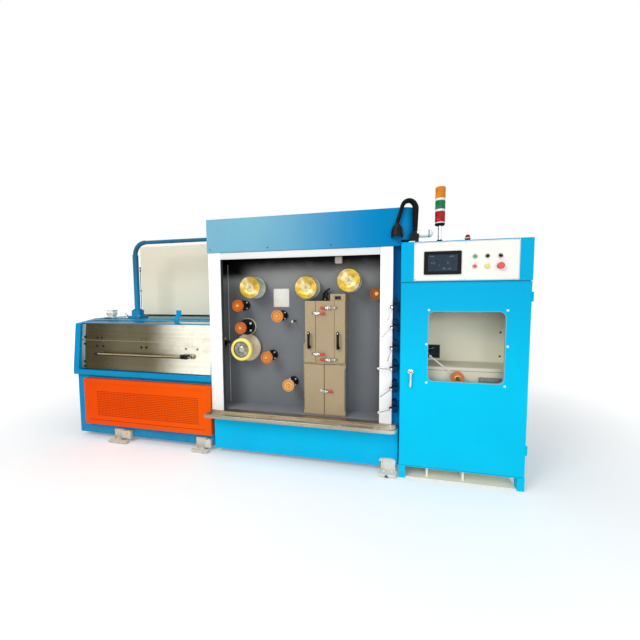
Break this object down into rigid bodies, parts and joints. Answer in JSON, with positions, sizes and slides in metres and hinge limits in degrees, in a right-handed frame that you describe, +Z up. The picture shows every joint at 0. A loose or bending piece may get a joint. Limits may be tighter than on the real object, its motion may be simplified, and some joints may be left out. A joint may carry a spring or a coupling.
{
  "type": "wire drawing machine",
  "caption": "Wire drawing line with a hooded drawing bath, an open annealing cabinet with capstans and guide pulleys, and a spooler cabinet with a windowed door.",
  "frame": {"origin": "centre of the footprint at floor level", "axes": "+X along the row from the drawing section to the spooler, fronts face -Y, +Z up"},
  "size_m": [3.87, 1.31, 2.104],
  "materials": {
    "blue_paint": "semi-gloss machine enamel",
    "cyan_paint": "semi-gloss powder coat",
    "dark_blue_paint": "semi-gloss enamel",
    "orange_paint": "semi-gloss powder coat",
    "white_paint": "satin powder coat",
    "cream_paint": "satin powder coat",
    "grey_paint": "satin enamel",
    "tan_paint": "heat-worn satin enamel",
    "flange_paint": "satin enamel",
    "black_paint": "satin enamel",
    "panel_paint": "satin plate",
    "stainless": "brushed, lightly scratched",
    "bright_steel": "bright plated",
    "grey_cast": "light grey enamel on cast iron",
    "brass": "turned and wire-worn",
    "pale_yellow": "glazed ring on a steel disc",
    "orange_plastic": "moulded",
    "white_plastic": "plain",
    "black_plastic": "moulded",
    "button_plastic": "coloured caps",
    "tower_plastic": "coloured lenses and white rings",
    "beacon_plastic": "tinted",
    "clear_tube": "translucent white",
    "window_pane": "clear sheet"
  },
  "bodies": {
    "frame": {"draw_casing": "blue_paint", "draw_guard": "orange_paint", "conduit_pipe": "dark_blue_paint", "junction_box": "white_plastic", "rear_cabinet": "cream_paint", "rear_plinth": "black_paint", "floor_feet": "grey_cast", "main_casing": "blue_paint", "cavity_surround": "blue_paint", "front_skirt": "blue_paint", "top_header": "blue_paint", "window_frame": "white_paint", "back_plate": "grey_paint", "drip_tray": "stainless", "annealer_body": "tan_paint", "annealer_fittings": "black_plastic", "annealer_clamps": "bright_steel", "bearing_blocks": "black_paint", "wheel_flange": "flange_paint", "cavity_plates": "white_plastic", "cavity_brackets": "black_paint", "valve_bank": "black_paint", "work_lamp": "black_plastic", "lamp_tube": "clear_tube", "spooler_shell": "cyan_paint", "spooler_base": "cream_paint", "spooler_inside": "cream_paint", "control_panel": "panel_paint", "hmi_panel": "black_plastic", "control_buttons": "button_plastic", "tower_light": "tower_plastic", "roof_beacon": "beacon_plastic"},
    "hood": {"hood_cover": "stainless", "hood_frame": "blue_paint", "hood_handle": "bright_steel"},
    "spooler_door": {"spooler_door": "cyan_paint", "door_window": "window_pane"},
    "door_handle": {"door_handle": "bright_steel"},
    "annealer_door_l": {"annealer_door_l": "tan_paint"},
    "annealer_door_r": {"annealer_door_r": "tan_paint"},
    "tension_wheel": {"tension_wheel": "pale_yellow"},
    "spooler_pulley": {"spooler_pulley": "orange_plastic"},
    "capstan_1": {"capstan_1": "brass"},
    "capstan_2": {"capstan_2": "brass"},
    "capstan_3": {"capstan_3": "brass"},
    "pulley_1": {"pulley_1": "orange_plastic"},
    "pulley_2": {"pulley_2": "orange_plastic"},
    "pulley_3": {"pulley_3": "orange_plastic"},
    "pulley_4": {"pulley_4": "orange_plastic"},
    "pulley_5": {"pulley_5": "orange_plastic"},
    "pulley_6": {"pulley_6": "orange_plastic"},
    "valve_lever_1": {"valve_lever_1": "bright_steel"},
    "valve_lever_2": {"valve_lever_2": "bright_steel"},
    "valve_lever_3": {"valve_lever_3": "bright_steel"},
    "valve_lever_4": {"valve_lever_4": "bright_steel"},
    "valve_lever_5": {"valve_lever_5": "bright_steel"},
    "valve_lever_6": {"valve_lever_6": "bright_steel"}
  },
  "joints": [
    {"name": "hood_open", "type": "hinge", "parent": "frame", "child": "hood", "pos_m": [-1.176, -0.282, 1.136], "axis": [-1, 0, 0], "range_deg": [0, 75]},
    {"name": "door_open", "type": "hinge", "parent": "frame", "child": "spooler_door", "pos_m": [1.928, -0.572, 0.8], "axis": [0, 0, 1], "range_deg": [0, 110]},
    {"name": "handle_turn", "type": "hinge", "parent": "spooler_door", "child": "door_handle", "pos_m": [1.162, -0.58, 0.797], "axis": [0, -1, 0], "range_deg": [0, 90]},
    {"name": "annealer_door_l_open", "type": "hinge", "parent": "frame", "child": "annealer_door_l", "pos_m": [0.336, -0.464, 0.5935], "axis": [0, 0, -1], "range_deg": [0, 100]},
    {"name": "annealer_door_r_open", "type": "hinge", "parent": "frame", "child": "annealer_door_r", "pos_m": [0.671, -0.464, 0.5935], "axis": [0, 0, 1], "range_deg": [0, 100]},
    {"name": "capstan_1_spin", "type": "hinge", "parent": "frame", "child": "capstan_1", "pos_m": [-0.131, -0.47, 1.418], "axis": [0, 1, 0], "continuous": true},
    {"name": "capstan_2_spin", "type": "hinge", "parent": "frame", "child": "capstan_2", "pos_m": [0.353, -0.47, 1.413], "axis": [0, 1, 0], "continuous": true},
    {"name": "capstan_3_spin", "type": "hinge", "parent": "frame", "child": "capstan_3", "pos_m": [0.697, -0.47, 1.465], "axis": [0, 1, 0], "continuous": true},
    {"name": "pulley_1_spin", "type": "hinge", "parent": "frame", "child": "pulley_1", "pos_m": [-0.254, -0.44, 1.265], "axis": [0, 1, 0], "continuous": true},
    {"name": "pulley_2_spin", "type": "hinge", "parent": "frame", "child": "pulley_2", "pos_m": [0.1, -0.44, 1.179], "axis": [0, 1, 0], "continuous": true},
    {"name": "pulley_3_spin", "type": "hinge", "parent": "frame", "child": "pulley_3", "pos_m": [-0.232, -0.44, 1.075], "axis": [0, 1, 0], "continuous": true},
    {"name": "pulley_4_spin", "type": "hinge", "parent": "frame", "child": "pulley_4", "pos_m": [0.002, -0.44, 0.83], "axis": [0, 1, 0], "continuous": true},
    {"name": "pulley_5_spin", "type": "hinge", "parent": "frame", "child": "pulley_5", "pos_m": [0.191, -0.44, 0.602], "axis": [0, 1, 0], "continuous": true},
    {"name": "pulley_6_spin", "type": "hinge", "parent": "frame", "child": "pulley_6", "pos_m": [0.911, -0.44, 1.36], "axis": [0, 1, 0], "continuous": true},
    {"name": "wheel_spin", "type": "hinge", "parent": "frame", "child": "tension_wheel", "pos_m": [-0.227, -0.44, 0.891], "axis": [0, 1, 0], "continuous": true},
    {"name": "spooler_pulley_spin", "type": "hinge", "parent": "frame", "child": "spooler_pulley", "pos_m": [1.491, -0.506, 0.751], "axis": [0, 1, 0], "continuous": true},
    {"name": "valve_1_turn", "type": "hinge", "parent": "frame", "child": "valve_lever_1", "pos_m": [1.027, -0.592, 1.261], "axis": [0, 1, 0], "range_deg": [-16, 74]},
    {"name": "valve_2_turn", "type": "hinge", "parent": "frame", "child": "valve_lever_2", "pos_m": [1.027, -0.592, 1.111], "axis": [0, 1, 0], "range_deg": [-45, 45]},
    {"name": "valve_3_turn", "type": "hinge", "parent": "frame", "child": "valve_lever_3", "pos_m": [1.027, -0.592, 0.961], "axis": [0, 1, 0], "range_deg": [-16, 74]},
    {"name": "valve_4_turn", "type": "hinge", "parent": "frame", "child": "valve_lever_4", "pos_m": [1.027, -0.592, 0.811], "axis": [0, 1, 0], "range_deg": [-90, 0]},
    {"name": "valve_5_turn", "type": "hinge", "parent": "frame", "child": "valve_lever_5", "pos_m": [1.027, -0.592, 0.661], "axis": [0, 1, 0], "range_deg": [-52, 38]},
    {"name": "valve_6_turn", "type": "hinge", "parent": "frame", "child": "valve_lever_6", "pos_m": [1.027, -0.592, 0.511], "axis": [0, 1, 0], "range_deg": [-72, 18]}
  ]
}
